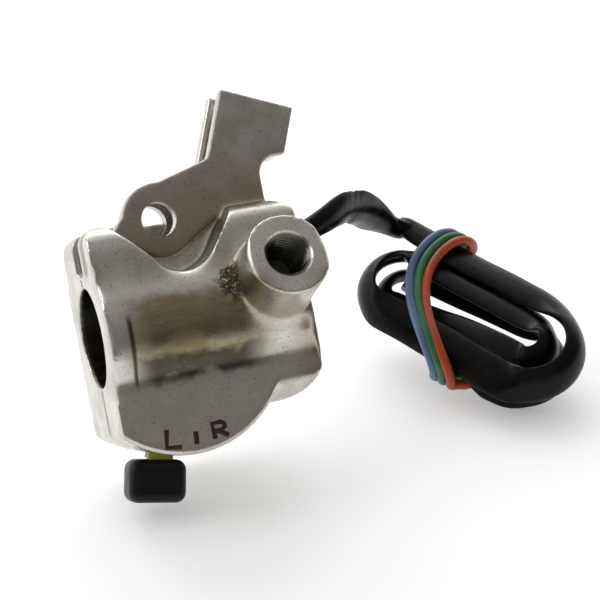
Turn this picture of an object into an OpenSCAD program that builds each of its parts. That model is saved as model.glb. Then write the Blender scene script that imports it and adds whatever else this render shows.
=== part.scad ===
// Handlebar switch cluster: a two-piece clamp casting with a lever perch, a mirror boss,
// a three-position indicator switch and its sleeved cord.
// Millimetres. X runs along the handlebar towards its middle, Z is up, Y is away from the rider's view.
// The origin is the middle of the handlebar bore. The fitting leans back about X, as it lies on a table.

/* [Handlebar clamp] */
// Radius of the handlebar bore
bar_r = 11.1; // [10.9:0.1:11.4]
// Metal round the bore at the front and back of the barrel
barrel_wall = 6.4; // [6:0.1:7]
// Reach of both castings towards the middle of the handlebar
inboard_reach = 23; // [23:0.5:25]
// Reach of the front casting towards the grip
front_reach = 26; // [25.5:0.5:27]
// Reach of the rear casting towards the grip
rear_reach = 26; // [26:0.5:27]
// Height of the castings above the bore axis
top_height = 23.5; // [23:0.5:25]
// Depth of the castings below the bore axis
bottom_depth = 21.5; // [21:0.5:23]
// Flat front face, from the parting plane
front_depth = 14; // [14:0.5:15]
// Flat rear face, from the parting plane
rear_depth = 16; // [16:0.5:17]
// Rounding of the long edges of the castings
edge_round = 6; // [4:0.5:7]
// Rounding of the inboard end, seen from above
end_round = 9; // [6:0.5:10]
// Gap between the two castings
parting_gap = 0.6; // [0.4:0.1:0.8]
// How far the fitting leans back from upright
lean = 30; // [25:1:35]

/* [Switch drum] */
// Drum centre along the bar
drum_x = -9.6; // [-10:0.1:-9.2]
// Drum centre, height over the bore axis
drum_z = -5.1; // [-5.5:0.1:-5]
// Drum radius
drum_r = 23.7; // [23.5:0.1:24.5]
// Depth of the drum behind the parting plane
drum_rear_depth = 17.5; // [17:0.5:19]
// Rounding of the drum's rims
drum_round = 1; // [0.5:0.1:2]
// Wall of the switch chamber
drum_wall = 3; // [2.5:0.1:3.5]

/* [Lever perch] */
// Lever pivot along the bar
pivot_x = -7.4; // [-8.2:0.1:-7]
// Lever pivot, height over the bore axis
pivot_z = 23.3; // [23:0.1:24.5]
// Radius of the lever pivot hole
pivot_r = 4; // [3:0.1:4.5]
// Thickness of each perch plate
plate_t = 3.5; // [3.2:0.1:4]
// Gap between the plates for the lever
lever_slot = 6; // [5.5:0.1:6.5]
// Radius of the rounded end of the front plate
eye_r = 8.3; // [8:0.1:8.6]
// Radius of the scoop in the barrel under the front plate
pocket_r = 8.1; // [7.8:0.1:8.3]
// Right edge of the neck under the cable block
neck_x = 17.9; // [17.5:0.1:18.5]
// Width of the cable block
block_w = 17.6; // [16.5:0.1:19]
// Height of the cable block on its lever side
block_h = 16.2; // [15.5:0.1:17]
// Turn of the cable block, down towards the inboard end
block_turn = 21.6; // [18:0.1:24]
// Underside of the cable block, over the bore axis
block_under = 33.4; // [33:0.1:34]
// Fillet under the cable block
notch_r = 4; // [3:0.1:4.5]
// Radius of the cable adjuster's threaded hole
adjuster_r = 3.4; // [2.5:0.1:3.5]

/* [Mirror boss] */
// Boss along the bar
boss_x = 13.6; // [13:0.1:14.5]
// Boss angle over the front face
boss_tilt = 20; // [15:1:25]
// Boss radius
boss_r = 9.25; // [8.5:0.05:9.5]
// Boss face, from the bore axis
boss_reach = 29.6; // [28:0.1:32]
// Radius of the mirror thread
mirror_r = 4.4; // [3.3:0.1:4.5]
// Depth of the mirror thread
mirror_depth = 15.5; // [12:0.5:16]
// Chamfer at the thread's mouth
mirror_chamfer = 0.8; // [0.4:0.1:1.2]

/* [Clamp screws] */
// Radius of the clamp screws
screw_r = 2; // [1.7:0.05:2.1]
// Radius of the screw heads
head_r = 3.4; // [3:0.1:3.6]
// Height of the screw heads
head_h = 2.6; // [2:0.1:3]
// Radius of the washers
washer_r = 3.7; // [3.6:0.1:3.8]
// Thickness of the washers
washer_t = 0.8; // [0.6:0.1:1]
// Seat of the washers, from the parting plane
seat_y = 14; // [13.5:0.1:14.4]
// Screw length under the head that enters the front casting
screw_grip = 8; // [6:0.5:9]

/* [Switch lever] */
// Switch pivot along the bar
switch_x = -10.9; // [-11.3:0.1:-10.5]
// Radius of the arm's hub
hub_r = 3; // [2.8:0.1:3.2]
// Radius of the pivot pin
pin_r = 1.5; // [1.2:0.1:1.6]
// Turn from the middle position to each side
throw = 20; // [18:0.5:21]
// Width of the arm
arm_w = 5.6; // [5:0.1:6]
// Thickness of the arm
arm_t = 4; // [3.6:0.1:4.2]
// Thickness of the notched sector beside the arm
sector_t = 2.5; // [2:0.1:2.6]
// Radius of the notched sector
sector_r = 8.6; // [8.4:0.1:8.7]
// Outer radius of the drum's rim under the knob, from the switch pivot
rim_r = 15.1; // [15:0.1:15.4]
// Width of the knob
knob_w = 13; // [11:0.1:13.5]
// Height of the knob
knob_h = 9.6; // [9:0.1:10.5]
// Thickness of the knob
knob_t = 9; // [8:0.1:9.4]
// Turn of the knob on the arm, so that it lies level when the arm is at the left
knob_turn = 8; // [0:1:10]
// Rounding of the knob's edges
knob_round = 2.6; // [1.5:0.1:3]

/* [Contacts] */
// Front face of the contact plate, from the parting plane
plate_y0 = 6.5; // [6.3:0.1:6.8]
// Thickness of the contact plate
plate_thick = 1.5; // [1.2:0.1:1.6]
// Height of the contact heads over the plate
contact_h = 0.6; // [0.5:0.05:0.7]
// Radius of the contact rivets
rivet_r = 0.9; // [0.7:0.05:1]
// Radius at which the side contacts lie, from the switch pivot
contact_ring = 8; // [7.8:0.1:8.2]
// Radius of the wiper's stem
stem_r = 0.9; // [0.8:0.05:1]
// Wire of the wiper spring
spring_wire = 0.36; // [0.3:0.02:0.4]
// Turns of the wiper spring
spring_turns = 4.5; // [3:0.5:5]
// Radius of the plate screws
plate_screw_r = 1.2; // [1:0.05:1.25]

/* [Cord] */
// Diameter of the cord's sleeve
sleeve_d = 5.2; // [4.6:0.1:5.2]
// Diameter of the single wires
wire_d = 1.8; // [1.6:0.1:1.8]
// Wall of the grommet round the sleeve
grommet_wall = 0.95; // [0.8:0.05:1]
// Half the length of the hank, at the sleeve's middle
hank_half_len = 33; // [30:0.5:34]
// Half the width of the hank, at the sleeve's middle
hank_half_w = 15; // [15:0.5:17]
// Step from loop to loop in the hank
hank_step = 5.85; // [5.8:0.05:6.2]
// Share of its width that the hank keeps at its waist
hank_waist = 0.97; // [0.97:0.01:1]

/* [Hidden] */
$fn = 64;
big = 90;
fit = 0.02;
run_fit = 0.05;
clear = 0.4;

// Castings: corners from the lower grip end round, then the grip ends seen from above
half_gap = parting_gap / 2;
corner_round = [3, 12, 7, 3.5];
grip_round = 2.5;
barrel_r = bar_r + barrel_wall;

// Lever perch
pivot = [pivot_x, pivot_z];
plates_y = lever_slot / 2 + plate_t;
channel_z = bar_r + 2.9;
perch_foot = 18;
web_x = 7;
perch_under = [[4.4, 20.8], [9.3, 23.7], [9.5, perch_foot]];
perch_room = 4.5;
pocket_at = [-5, 19.2];
pocket_flare = [-20.5, 8];
pocket_step = 1.4;
stop_x = 19;
block_corner = [12.3, 50.2];
rear_eye_r = eye_r - 1.5;
function perch_edge(r) = [for (p = [[0.5, 1.1], [-0.47, 0.82], [-1.25, -0.1]]) pivot + r * p];
adjuster_drop = 5;
adjuster_deep = 9.5;

// Clamp screws: along the bar and over the bore axis
screw_at = [[12, 18.4], [13.5, -15.2], [-21.6, -17]];
screw_clear_r = screw_r + 0.2;
screw_tip = [-4, -screw_grip, -screw_grip];

// Switch
switch_z = -(bar_r + hub_r + clear);
switch_at = [switch_x, switch_z];
chamber_r = rim_r - drum_wall;
chamber_left = -18.4;
chamber_top = -8;
chamber_front = front_depth - drum_wall;
chamber_rear = drum_rear_depth - drum_wall;
knob_gap = 0.5;
knob_in = rim_r + knob_gap;
knob_side = knob_t / 2 + 0.8;
knob_sweep = 10.5;
knob_sweep_top = switch_z - knob_sweep;
tang_w = arm_w - 1.2;
tang_len = 6;
arm_y = arm_t / 2;
arm_slot_y = arm_y + 0.5;
slot_half_angle = throw + asin((arm_w / 2 + 0.5) / chamber_r);
sector_y = arm_y + sector_t;
sector_half_angle = 32;
notch_deep = 0.9;
pin_boss_r = 3;
pin_boss_y = sector_y + 0.5;
pin_seat = front_depth - 1.4;
clip_y = arm_y + 0.3;
clip_t = 0.6;
clip_r = 2.8;
pin_end = clip_y + clip_t + 0.6;
groove_r = pin_r - 0.25;

// Detent leaf: profile along the bar and over the switch pivot
leaf_t = 0.35;
leaf_y = [-sector_y + 0.1, -arm_y - 0.2];
leaf_tip = switch_z - (sector_r - notch_deep) - 0.3;
leaf_low = leaf_tip - 1.1;
leaf_root = chamber_left - 2.4;
leaf_slit_fit = 0.05;

// Contacts
plate_y1 = plate_y0 + plate_thick;
contact_y = plate_y0 - contact_h;
contact_head_r = 1.3;
common_r = 4.6;
common_half_w = 0.6;
rivet_end = plate_y1 + 1;
wiper_gap = 0.1;
wiper_t = 0.5;
wiper_y1 = contact_y - wiper_gap;
wiper_y0 = wiper_y1 - wiper_t;
wiper_w = 2.6;
wiper_in = common_r - common_half_w - 0.2;
wiper_out = contact_ring + 0.9;
stem_at = 6.3;
spring_seat = 0.5;
spring_mid_r = stem_r + 0.3 + spring_wire / 2;
spring_pocket_r = spring_mid_r + spring_wire / 2 + 0.3;
plate_margin = 0.5;
plate_top = -12.2;
plate_screw_at = [[-16.3, -14.5], [-3.2, -20.2]];
plate_screw_head_r = 2;
plate_screw_head_h = 1.1;
plate_screw_end = plate_y1 + 4.5;
post_r = 2.2;
tag_t = 0.5;
tag_w = 2.2;
tag_len = 4.6;

// Cord outlet in the rear casting
outlet_y = 11;
outlet_z = 12.5;
outlet_rise = 20;
grommet_r = sleeve_d / 2 + run_fit + grommet_wall;
collar_r = grommet_r + 0.8;
collar_t = 1.8;
grommet_in = 7;
grommet_nose = 5;
outlet_seat = -0.4;
outlet_deep = 14;
outlet_open = 12;
wire_channel_r = bar_r + 4.5;
wire_channel_x = [-7, 18];
wire_channel_y = 8;
wire_channel_top = 10;

// Points of the fitting, turned with its lean
function leaned(p) = [p.x, p.y * cos(lean) + p.z * sin(lean), p.z * cos(lean) - p.y * sin(lean)];
outlet_dir = [cos(outlet_rise), 0, sin(outlet_rise)];
function outlet_point(s) = [inboard_reach, outlet_y, outlet_z] + s * outlet_dir;

// Sweeping a round tube along points
function unit(v) = v / norm(v);
function tangents(p) = [for (i = [0 : len(p) - 1]) unit(p[min(i + 1, len(p) - 1)] - p[max(i - 1, 0)])];
function normals(t, i, last) =
    i == len(t) ? [] : let (n = unit(last - t[i] * (last * t[i]))) concat([n], normals(t, i + 1, n));
function rings(p, r, sides, side) =
    let (t = tangents(p), n = normals(t, 0, side))
    [for (i = [0 : len(p) - 1]) for (k = [0 : sides - 1])
        p[i] + r * (cos(360 * k / sides) * n[i] + sin(360 * k / sides) * cross(t[i], n[i]))];
function spline(p, steps) = concat(
    [for (i = [0 : len(p) - 2]) for (j = [0 : steps - 1])
        let (a = p[max(i - 1, 0)], b = p[i], c = p[i + 1], d = p[min(i + 2, len(p) - 1)], s = j / steps)
        b + 0.5 * s * (c - a + s * (2 * a - 5 * b + 4 * c - d + s * (3 * (b - c) + d - a)))],
    [p[len(p) - 1]]);
function least_gap(p, skip, d) =
    min([for (i = [0 : len(p) - 1]) for (j = [i + skip : 1 : len(p) - 1]) norm(p[i] - p[j])]) - d;
module tube(p, d, sides, side) {
    last = len(p) - 1;
    polyhedron(rings(p, d / 2, sides, side), concat(
        [for (k = [1 : sides - 2]) [0, k, k + 1]],
        [for (k = [1 : sides - 2]) [last * sides, last * sides + k + 1, last * sides + k]],
        [for (i = [0 : last - 1]) for (k = [0 : sides - 1])
            let (a = i * sides + k, b = i * sides + (k + 1) % sides)
            each [[a, a + sides, b], [b, a + sides, b + sides]]]));
}

// Hank: its middle, and its long, cross and upward directions
hank_mid = [74, 12.5, -22];
hank_heading = -57;
hank_dip = 11;
hank_tip_up = 25;
hank_u = [cos(hank_heading) * cos(hank_dip), sin(hank_heading) * cos(hank_dip), -sin(hank_dip)];
hank_across = [-sin(hank_heading), cos(hank_heading), 0];
hank_v = cos(hank_tip_up) * hank_across + sin(hank_tip_up) * cross(hank_u, hank_across);
hank_n = cross(hank_u, hank_v);
function hank_place(q) = hank_mid + q.x * hank_u + q.y * hank_v + q.z * hank_n;
hank_layer = sleeve_d + 0.5;
hank_run = 2 * (hank_half_len - hank_half_w);
hank_arc = PI * hank_half_w;
hank_lap = 2 * (hank_run + hank_arc);
run_share = hank_run / hank_lap;
arc_share = hank_arc / hank_lap;
// Laps counted from the far run: the spiral turns back in the middle of the near run of the second lap
lap_back = 1 + run_share + arc_share + run_share / 2;
lap_last = 2 + arc_share + 1.15 * run_share;
lap_rings = 24;
tie_u = -7;
function lap_inset(t) = hank_step * min(t, 2 * lap_back - t);
function lap_height(t) =
    let (c = min(1, max(0, (t - lap_back) / run_share + 0.5))) hank_layer * (0.5 - c * c * (3 - 2 * c));
function waist(u) = 1 - (1 - hank_waist) * exp(-pow((u - tie_u) / 9, 2));
function lap_track(f, w) =
    let (end = hank_half_len - hank_half_w)
    f < run_share ? [-end + hank_run * f / run_share, w]
    : f < run_share + arc_share
        ? let (a = 180 * (f - run_share) / arc_share) [end + w * sin(a), w * cos(a)]
    : f < 2 * run_share + arc_share ? [end - hank_run * (f - run_share - arc_share) / run_share, -w]
    : let (a = 180 * (f - 2 * run_share - arc_share) / arc_share) [-end - w * sin(a), -w * cos(a)];
function lap_point(t) =
    let (q = lap_track(t - floor(t), hank_half_w - lap_inset(t)))
    hank_place([q.x, q.y * waist(q.x), lap_height(t)]);
lap_count = ceil(lap_last * lap_rings);
laps = [for (i = [0 : lap_count]) lap_point(lap_last * i / lap_count)];
hank_start_dir = unit(laps[1] - laps[0]);
hank_end_dir = unit(laps[lap_count] - laps[lap_count - 1]);
hank_start = laps[0] - sleeve_d * hank_start_dir;
hank_end = laps[lap_count] + sleeve_d * hank_end_dir;
hank_points = concat([hank_start], laps, [hank_end]);

// Free lead: through the grommet, over in an arch and down, then straight into the hank
lead_route = concat(
    [for (s = [-grommet_in, 0, grommet_nose, 2 * grommet_nose]) leaned(outlet_point(s))],
    [[38, 19, 9.8], [43.5, 22.5, 10], [49, 27, 8], [54.5, 31.8, 4]],
    [[60, 37, -1.5], [65, 40.5, -5.5], [69.5, 40.5, -7.9]],
    [hank_start - sleeve_d * hank_start_dir]);

// Wire tails: out of the sleeve's end in the near run, each with its own turn, then round the hank as its tie
tail_wraps = 0.72;
tail_rings = 28;
tie_pitch = wire_d + 0.5;
tie_r = hank_layer / 2 + sleeve_d / 2 + wire_d / 2 + 0.5;
tie_mid = 1.8;
tie_half = hank_half_w - 2.6;
tie_lap = 4 * tie_half + 2 * PI * tie_r;
tie_flat = 2 * tie_half / tie_lap;
tie_bend = PI * tie_r / tie_lap;
tie_start = tie_flat + 0.6 * tie_bend;
tail_spread = wire_d / 2 + 0.25;
function tie_track(f) =
    f < tie_flat ? [tie_half - 2 * tie_half * f / tie_flat, tie_r]
    : f < tie_flat + tie_bend
        ? let (a = 180 * (f - tie_flat) / tie_bend) [-tie_half - tie_r * sin(a), tie_r * cos(a)]
    : f < 2 * tie_flat + tie_bend ? [-tie_half + 2 * tie_half * (f - tie_flat - tie_bend) / tie_flat, -tie_r]
    : let (a = 180 * (f - 2 * tie_flat - tie_bend) / tie_bend) [tie_half + tie_r * sin(a), -tie_r * cos(a)];
function tie_at(k, wraps) = tie_u + tie_pitch * (k + 1.5 - 3 * wraps);
function tie_point(k, wraps) =
    let (t = tie_start - wraps, q = tie_track(t - floor(t)))
    hank_place([tie_at(k, wraps), tie_mid + q.x, q.y]);
tail_straight = 3;
tail_turn = [[[3.6, -12.2, -3.9], [1, -15.2, -3.9]],
             [[3.6, -12.6, -1.6], [1.2, -15.2, -2.6]],
             [[2.9, -13.6, -3.6], [1, -15.6, -3.2]]];
function tail_out(k) =
    hank_end + tail_spread * (cos(120 * k + 90) * cross(hank_end_dir, hank_n) + sin(120 * k + 90) * hank_n);
function tail_route(k) = concat(
    [tail_out(k)],
    spline(concat(
        [tail_out(k) + tail_straight * hank_end_dir],
        [for (p = tail_turn[k + 1]) hank_place(p + [tie_at(k, 0), 0, 0])],
        [tie_point(k, 0)]), 4),
    [for (i = [1 : ceil(tail_wraps * tail_rings)]) tie_point(k, i / tail_rings)]);

// Inner leads: from a solder tag, each with its own turn, side by side round the bar and into the cord
lead_bend = wire_d / 2 + 0.25;
lead_straight = 2;
lead_pitch = wire_d + 0.8;
lead_turn = [[[-12, 12.9, -14.6], [-8.6, 12.3, -11]],
             [[-8, 11.6, -14], [-5, 11.2, -11.4]],
             [[-4.2, 11.4, -15.6], [-2, 11.2, -12]]];
lead_row = [[-1.2, 10.6, -7.8], [1, 12.7, -2.6], [3, 12.6, 3]];
lead_gather = [[3.6, 10.4, 8.4], [7.2, 11.8, 6.8], [9.4, 12, 3.8]];
outlet_up = [-sin(outlet_rise), 0, cos(outlet_rise)];
function in_sleeve(k, s) =
    outlet_point(s) + lead_bend * (cos(120 * k + 90) * outlet_up + sin(120 * k + 90) * [0, 1, 0]);
function lead_points(k) = concat(
    [tag_end(k + 1)],
    spline(concat(
        [tag_end(k + 1) + [0, lead_straight, 0]],
        lead_turn[k + 1],
        [for (p = lead_row) p + [lead_pitch * k, 0, 0]],
        [lead_gather[k + 1], in_sleeve(k, 1.4 - outlet_deep)]), 3),
    [in_sleeve(k, -grommet_in)]);

// Placing: the lean of the fitting, and shapes drawn along the bar and over its axis
module posed() rotate([-lean, 0, 0]) children();
module on_arm() posed() translate([switch_x, 0, switch_z]) rotate([0, throw, 0]) children();
module on_outlet() posed() translate([inboard_reach, outlet_y, outlet_z])
    rotate([0, 90 - outlet_rise, 0]) children();
module plate_y(y0, y1) translate([0, y1, 0]) rotate([90, 0, 0]) linear_extrude(y1 - y0) children();
module pin_y(p, r, y0, y1) translate([p.x, y1, p.y]) rotate([90, 0, 0]) cylinder(r = r, h = y1 - y0);
module along_x(x0, x1) translate([x0, 0, 0]) rotate([90, 0, 90]) linear_extrude(x1 - x0) children();
module round_rect(low, high, r) {
    polygon([[low.x + r[0], low.y], [high.x - r[1], low.y], [high.x, low.y + r[1]], [high.x, high.y - r[2]],
             [high.x - r[2], high.y], [low.x + r[3], high.y], [low.x, high.y - r[3]], [low.x, low.y + r[0]]]);
    translate([low.x + r[0], low.y + r[0]]) circle(r[0]);
    translate([high.x - r[1], low.y + r[1]]) circle(r[1]);
    translate([high.x - r[2], high.y - r[2]]) circle(r[2]);
    translate([low.x + r[3], high.y - r[3]]) circle(r[3]);
}
module wedge(half_angle, r) polygon([[0, 0], [-r * sin(half_angle), -r * cos(half_angle)],
                                     [0, -1.5 * r], [r * sin(half_angle), -r * cos(half_angle)]]);

// Castings
module casting(reach, depth) intersection() {
    plate_y(-big, big) round_rect([-reach, -bottom_depth], [inboard_reach, top_height], corner_round);
    along_x(-big, big) {
        circle(barrel_r);
        round_rect([-depth, -bottom_depth], [depth, top_height], edge_round * [1, 1, 1, 1]);
    }
    translate([0, 0, -big]) linear_extrude(2 * big)
        round_rect([-reach, -barrel_r], [inboard_reach, barrel_r],
                   [grip_round, end_round, end_round, grip_round]);
}
module drum(depth) translate([drum_x, 0, drum_z]) rotate([90, 0, 0]) rotate_extrude() {
    square([drum_r, depth - drum_round]);
    square([drum_r - drum_round, depth]);
    translate([drum_r - drum_round, depth - drum_round]) circle(drum_round);
}
module chamber_2d(margin, top) intersection() {
    translate(switch_at) circle(chamber_r - margin);
    translate([chamber_left + margin, top - big]) square([big, big]);
}
module bar_bore() along_x(-big, big) circle(bar_r);
module knob_room() {
    plate_y(-knob_side, knob_side) difference() {
        translate([-big / 2, knob_sweep_top - big]) square([big, big]);
        translate(switch_at) circle(rim_r);
    }
    plate_y(-arm_slot_y, arm_slot_y) translate(switch_at) wedge(slot_half_angle, 2 * rim_r);
}
module perch_2d(r) difference() {
    union() {
        translate(block_corner) rotate(-block_turn) translate([0, -block_h]) square([block_w, block_h]);
        polygon(concat([[neck_x, perch_foot], [neck_x, block_under + 6], block_corner - [3, 9.5],
                        block_corner - block_h * [sin(block_turn), cos(block_turn)]],
                       perch_edge(r), [[pivot_x - r, perch_foot], pivot + r * [0.65, -0.76]], perch_under));
        translate(pivot) circle(r);
    }
    translate([neck_x, block_under - notch_r - big]) square([big, big]);
    translate([neck_x + notch_r, block_under - big]) square([big, big]);
    translate([neck_x + notch_r, block_under - notch_r]) circle(notch_r);
}
module pocket_2d() hull() {
    translate(pocket_at) circle(pocket_r);
    translate([pocket_flare[0], top_height]) square([pocket_flare[1] - pocket_flare[0], big]);
}
module lever_slot_2d() polygon([[-big, channel_z], [pivot_x + eye_r + 1, channel_z], [web_x, channel_z + 6],
    [web_x, block_under - 2], [stop_x, block_under + 2.5], [stop_x + 3.5, big], [-big, big]]);
module on_boss() translate([boss_x, 0, 0]) rotate([90 - boss_tilt, 0, 0]) children();
module on_adjuster() translate([block_corner.x, 0, block_corner.y]) rotate([0, block_turn, 0])
    translate([block_w, 0, -adjuster_drop]) rotate([0, 90, 0]) children();

module front_housing() color("silver") posed() {
    difference() {
        union() {
            difference() {
                intersection() {
                    union() {
                        casting(front_reach, front_depth);
                        drum(front_depth);
                    }
                    translate([-front_reach, -big, -big]) cube([big, big - half_gap, 2 * big]);
                }
                plate_y(-big, pocket_step - plates_y) pocket_2d();
            }
            on_boss() translate([0, 0, bar_r + 1]) cylinder(r = boss_r, h = boss_reach - bar_r - 1);
            plate_y(-plates_y, 0) perch_2d(eye_r);
            plate_y(-1, plates_y) perch_2d(rear_eye_r);
        }
        plate_y(-lever_slot / 2, lever_slot / 2) lever_slot_2d();
        bar_bore();
        plate_y(-chamber_front, big) chamber_2d(0, chamber_top);
        knob_room();
        pin_y(pivot, pivot_r, -big, big);
        on_boss() {
            translate([0, 0, boss_reach - mirror_depth]) cylinder(r = mirror_r, h = mirror_depth + 1);
            translate([0, 0, boss_reach - mirror_chamfer])
                cylinder(r1 = mirror_r, r2 = mirror_r + mirror_chamfer, h = mirror_chamfer + 0.001);
        }
        on_adjuster() translate([0, 0, -adjuster_deep]) cylinder(r = adjuster_r, h = adjuster_deep + 1);
        for (i = [0 : len(screw_at) - 1]) pin_y(screw_at[i], screw_r + fit, screw_tip[i] - 1, big);
        plate_y(leaf_y[0] - fit, 0) translate([leaf_root - fit, leaf_low + 0.4 - leaf_t - leaf_slit_fit])
            square([chamber_left - leaf_root + 0.2, leaf_t + 2 * leaf_slit_fit]);
        pin_y(switch_at, pin_r + fit, -pin_seat - fit, 0);
    }
    difference() {
        pin_y(switch_at, pin_boss_r, -chamber_front - 0.5, -pin_boss_y);
        pin_y(switch_at, pin_r + fit, -pin_seat - fit, 0);
    }
}

module rear_housing() color("gainsboro") {
    posed() difference() {
        intersection() {
            union() {
                casting(rear_reach, rear_depth);
                mirror([0, 1, 0]) drum(drum_rear_depth);
            }
            translate([-rear_reach, half_gap, -big]) cube([big, big, 2 * big]);
        }
        bar_bore();
        plate_y(-1, lever_slot / 2 + clear) lever_slot_2d();
        plate_y(-1, plates_y + clear) translate([pivot_x - eye_r - perch_room, pivot_z - eye_r - clear])
            square([neck_x - pivot_x + eye_r + perch_room + clear, big]);
        difference() {
            plate_y(-1, chamber_rear) chamber_2d(0, chamber_top);
            for (p = plate_screw_at) pin_y(p, post_r, plate_y1, big);
        }
        knob_room();
        intersection() {
            translate([wire_channel_x[0], 0, 0]) rotate([0, 90, 0])
                cylinder(r = wire_channel_r, h = wire_channel_x[1] - wire_channel_x[0]);
            translate([-big / 2, wire_channel_y, wire_channel_top - big]) cube([big, big, big]);
        }
        for (p = screw_at) {
            pin_y(p, screw_clear_r, -1, big);
            pin_y(p, washer_r + 0.3, seat_y, big);
        }
        for (p = plate_screw_at) pin_y(p, plate_screw_r + fit, plate_y0, plate_screw_end + 0.3);
        translate([inboard_reach, outlet_y, outlet_z]) rotate([0, 90 - outlet_rise, 0]) {
            translate([0, 0, -outlet_deep]) cylinder(r = grommet_r + fit, h = outlet_deep + 5);
            translate([0, 0, outlet_seat]) cylinder(r = collar_r + clear, h = outlet_open);
        }
    }
}

module clamp_screws() color("dimgray") posed() for (i = [0 : len(screw_at) - 1]) {
    seat = seat_y + washer_t;
    pin_y(screw_at[i], screw_r, screw_tip[i], seat);
    difference() {
        pin_y(screw_at[i], head_r, seat, seat + head_h);
        translate([screw_at[i].x - head_r, seat + head_h / 2, screw_at[i].y - 0.5])
            cube([2 * head_r, head_h, 1]);
    }
}
module clamp_washers() color("lightgray") posed() for (p = screw_at) difference() {
    pin_y(p, washer_r, seat_y, seat_y + washer_t);
    pin_y(p, screw_r + fit, 0, big);
}

// Switch lever: drawn hanging straight down from its pivot, then turned to its rest position
module switch_arm() color("yellowgreen") on_arm() difference() {
    union() {
        pin_y([0, 0], hub_r, -sector_y, arm_y);
        plate_y(-arm_y, arm_y) {
            translate([-arm_w / 2, -knob_in]) square([arm_w, knob_in]);
            translate([-tang_w / 2, -knob_in - tang_len]) square([tang_w, tang_len + 1]);
        }
        plate_y(-sector_y, -arm_y + 0.5) intersection() {
            circle(sector_r);
            wedge(sector_half_angle, sector_r);
        }
    }
    pin_y([0, 0], pin_r + run_fit, -big, big);
    for (a = [-throw, 0, throw])
        pin_y(sector_r * [sin(a), -cos(a)], notch_deep, -sector_y - 1, -arm_y);
    pin_y([0, -stem_at], stem_r + 0.1, -sector_y - 1, arm_y);
    pin_y([0, -stem_at], spring_pocket_r, spring_seat, arm_y + 1);
}
module switch_knob() color([0.08, 0.08, 0.09]) on_arm() difference() {
    rounds = knob_round * [1, 1, 1, 1];
    translate([0, 0, -knob_in - knob_h / 2]) rotate([0, -knob_turn, 0]) intersection() {
        plate_y(-big, big) round_rect([-knob_w, -knob_h] / 2, [knob_w, knob_h] / 2, rounds);
        along_x(-big, big) round_rect([-knob_t, -knob_h] / 2, [knob_t, knob_h] / 2, rounds);
    }
    translate([-arm_w / 2 - fit, -arm_y - fit, -knob_in])
        cube([arm_w + 2 * fit, arm_t + 2 * fit, knob_round]);
    translate([-tang_w / 2 - fit, -arm_y - fit, -knob_in - tang_len - fit])
        cube([tang_w + 2 * fit, arm_t + 2 * fit, tang_len + 1]);
}
module wiper_contact() color("goldenrod") on_arm() {
    plate_y(wiper_y0, wiper_y1) translate([-wiper_w / 2, -wiper_out])
        square([wiper_w, wiper_out - wiper_in]);
    pin_y([0, -stem_at], stem_r, -1.2, wiper_y0 + 0.2);
}
spring_low = spring_seat + spring_wire / 2 + fit;
spring_high = wiper_y0 - spring_wire / 2 - fit;
spring_rings = 8 * spring_turns;
spring_points = [for (i = [0 : spring_rings])
    let (a = 45 * i, y = spring_low + (spring_high - spring_low) * i / spring_rings)
    [spring_mid_r * cos(a), y, spring_mid_r * sin(a) - stem_at]];
module wiper_spring() color("lightsteelblue") on_arm() tube(spring_points, spring_wire, 6, [0, 1, 0]);

module pivot_pin() color("slategray") posed() {
    pin_y(switch_at, pin_r, -pin_seat, clip_y);
    pin_y(switch_at, groove_r, clip_y - 0.2, pin_end - 0.2);
    pin_y(switch_at, pin_r, clip_y + clip_t, pin_end);
}
module pivot_clip() color("darkgray") posed() plate_y(clip_y + fit, clip_y + clip_t - fit)
    translate(switch_at) difference() {
        circle(clip_r);
        circle(groove_r + fit);
        translate([-groove_r + 0.2, -clip_r - 1]) square([2 * groove_r - 0.4, clip_r + 1]);
    }
leaf_top = [[leaf_root, leaf_low + 0.4], [chamber_left + 0.5, leaf_low + 0.4], [switch_x - 1.1, leaf_low],
            [switch_x, leaf_tip], [switch_x + 1.1, leaf_low], [switch_x + 2.4, leaf_low - 0.2]];
module detent_spring() color("lightsteelblue") posed() plate_y(leaf_y[0], leaf_y[1])
    polygon(concat(leaf_top, [for (i = [len(leaf_top) - 1 : -1 : 0]) leaf_top[i] - [0, leaf_t]]));

// Contacts: left, common and right
function contact_at(a) = switch_at + contact_ring * [sin(a), -cos(a)];
rivets_at = [contact_at(-throw), switch_at - [0, common_r], contact_at(throw)];
tag_turn = [20, 0, -20];
module contact_plate() color("saddlebrown") posed() difference() {
    plate_y(plate_y0, plate_y1) chamber_2d(plate_margin, plate_top);
    for (p = rivets_at) pin_y(p, rivet_r + fit, 0, big);
    for (p = plate_screw_at) pin_y(p, plate_screw_r + fit, 0, big);
}
module plate_screws() color("silver") posed() for (p = plate_screw_at) {
    pin_y(p, plate_screw_head_r, plate_y0 - plate_screw_head_h, plate_y0);
    pin_y(p, plate_screw_r, plate_y0 - 0.5, plate_screw_end);
}
module fixed_contacts() color("gold") posed() {
    for (p = rivets_at) pin_y(p, rivet_r, plate_y0 - 0.3, rivet_end);
    for (a = [-throw, throw]) pin_y(contact_at(a), contact_head_r, contact_y, plate_y0);
    plate_y(contact_y, plate_y0) translate(switch_at) intersection() {
        difference() {
            circle(common_r + common_half_w);
            circle(common_r - common_half_w);
        }
        wedge(throw + 15, big / 2);
    }
}
module solder_tags() color("khaki") posed() for (i = [0 : 2]) plate_y(plate_y1, plate_y1 + tag_t)
    translate(rivets_at[i]) difference() {
        union() {
            circle(rivet_r + 0.9);
            rotate(tag_turn[i]) translate([-tag_w / 2, 0]) square([tag_w, tag_len]);
        }
        circle(rivet_r + fit);
    }
function tag_end(i) =
    let (p = rivets_at[i] + (tag_len - tag_w / 2) * [-sin(tag_turn[i]), cos(tag_turn[i])])
    [p.x, plate_y1 + tag_t, p.y];

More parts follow.
